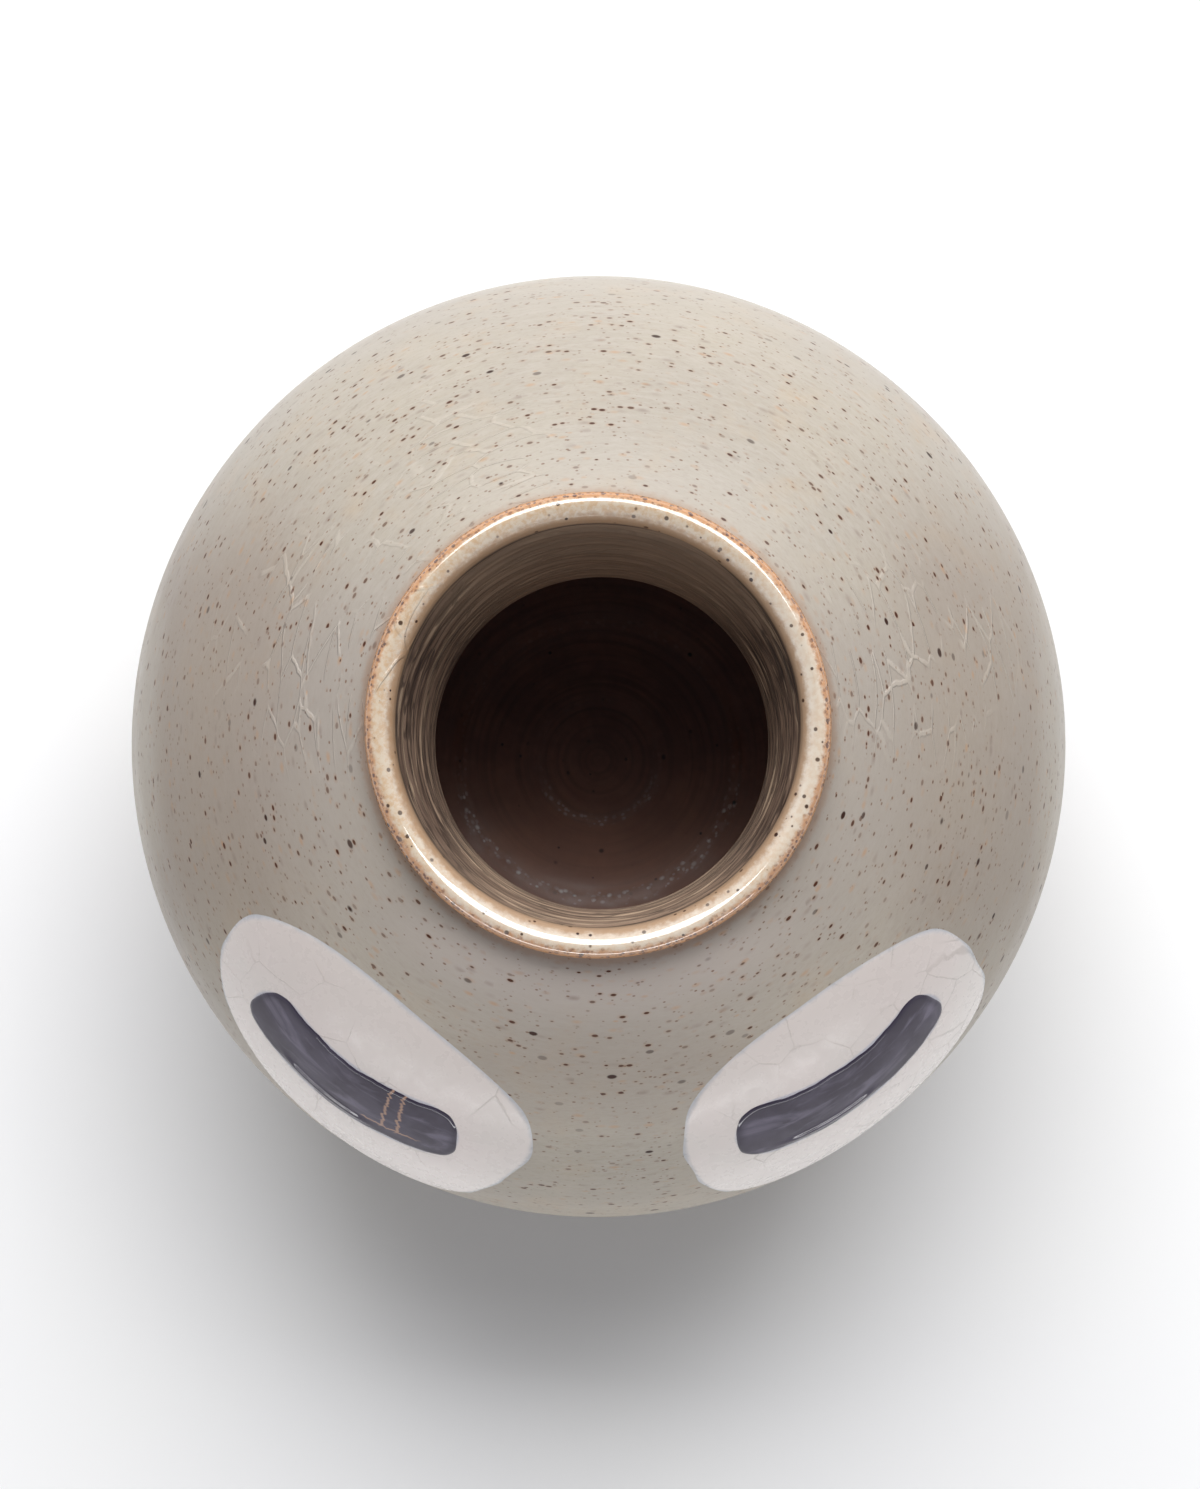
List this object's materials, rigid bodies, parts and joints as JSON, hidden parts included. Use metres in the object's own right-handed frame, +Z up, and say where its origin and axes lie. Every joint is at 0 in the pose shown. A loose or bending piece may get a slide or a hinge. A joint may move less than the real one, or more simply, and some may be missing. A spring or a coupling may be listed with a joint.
{
  "type": "bud vase",
  "caption": "Small round-bellied stoneware vase with a short flared neck, a foot ring, a speckled glaze and white oval panels that each carry a dark brushed bar.",
  "frame": {"origin": "centre of the standing face, on the vase's axis", "axes": "+Z up along the axis of the vase, -Y towards the side with the panels"},
  "size_m": [0.11, 0.11, 0.0814],
  "materials": {
    "stoneware_clay": "bare fired clay, matte",
    "washed_clay": "bare clay with dark throwing lines, matte",
    "speckled_glaze": "glossy cream-grey with iron specks",
    "dark_liner": "glossy dark brown",
    "white_glaze": "satin white with fine crackle",
    "slate_glaze": "glossy violet-grey"
  },
  "bodies": {
    "root": {"belly": "stoneware_clay", "neck_collar": "washed_clay", "foot_ring": "stoneware_clay", "outer_glaze": "speckled_glaze", "liner_glaze": "dark_liner", "panel_left": "white_glaze", "panel_right": "white_glaze", "bar_left": "slate_glaze", "bar_right": "slate_glaze"}
  },
  "joints": []
}
